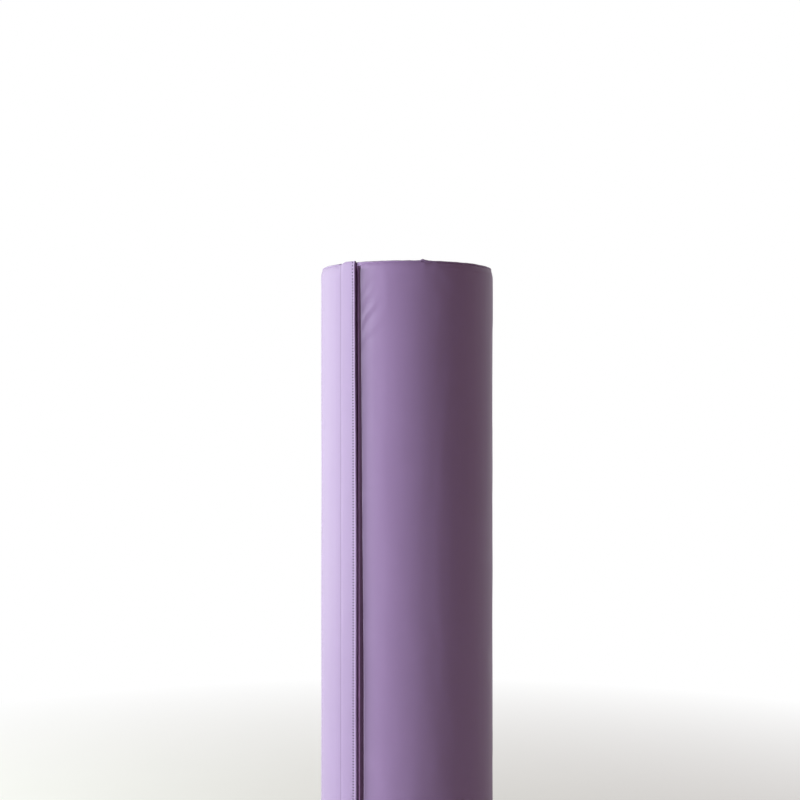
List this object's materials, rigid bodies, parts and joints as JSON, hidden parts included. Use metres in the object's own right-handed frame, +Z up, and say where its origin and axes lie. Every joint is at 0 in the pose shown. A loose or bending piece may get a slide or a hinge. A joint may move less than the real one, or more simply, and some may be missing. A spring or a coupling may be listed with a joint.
{
  "type": "pole pad",
  "caption": "Wrap-around pole pad: two foam-filled vinyl half sleeves hinged down the back and closed down the front by a hook-and-loop flap.",
  "frame": {"origin": "centre of the sleeve at its base, where it stands on the floor round the pole", "axes": "+Z up along the pole; the opening between the two halves, under the flap, faces -Y; the hinge seam faces +Y; the flap is sewn to the left half at -X and closes over the right half at +X"},
  "size_m": [0.2574, 0.2612, 1.2192],
  "materials": {
    "vinyl": "satin",
    "lining": "matte",
    "foam": "matte",
    "hook_tape": "satin",
    "loop_tape": "matte",
    "thread": "satin"
  },
  "bodies": {
    "left_half": {"left_foam": "foam", "left_cover": "vinyl", "left_lining": "lining", "left_top_band": "vinyl", "left_bottom_band": "vinyl", "left_top_welt": "vinyl", "left_bottom_welt": "vinyl", "left_front_gusset": "vinyl", "left_back_gusset": "vinyl", "left_edge_stitching": "thread", "left_hinge_stitching": "thread", "hinge_bead": "vinyl"},
    "right_half": {"right_foam": "foam", "right_cover": "vinyl", "right_lining": "lining", "right_top_band": "vinyl", "right_bottom_band": "vinyl", "right_top_welt": "vinyl", "right_bottom_welt": "vinyl", "right_front_gusset": "vinyl", "right_back_gusset": "vinyl", "right_hinge_stitching": "thread", "loop_tape": "loop_tape"},
    "flap": {"flap_cover": "vinyl", "flap_facing": "lining", "hook_tape": "hook_tape", "flap_root_stitching": "thread", "flap_edge_stitching": "thread"}
  },
  "joints": [
    {"name": "sleeve_open", "type": "hinge", "parent": "left_half", "child": "right_half", "pos_m": [0, 0.1298, 0], "axis": [0, 0, 1], "range_deg": [0, 150]},
    {"name": "flap_peel", "type": "hinge", "parent": "left_half", "child": "flap", "pos_m": [0, -0.1287, 0], "axis": [0, 0, -1], "range_deg": [0, 150]}
  ]
}
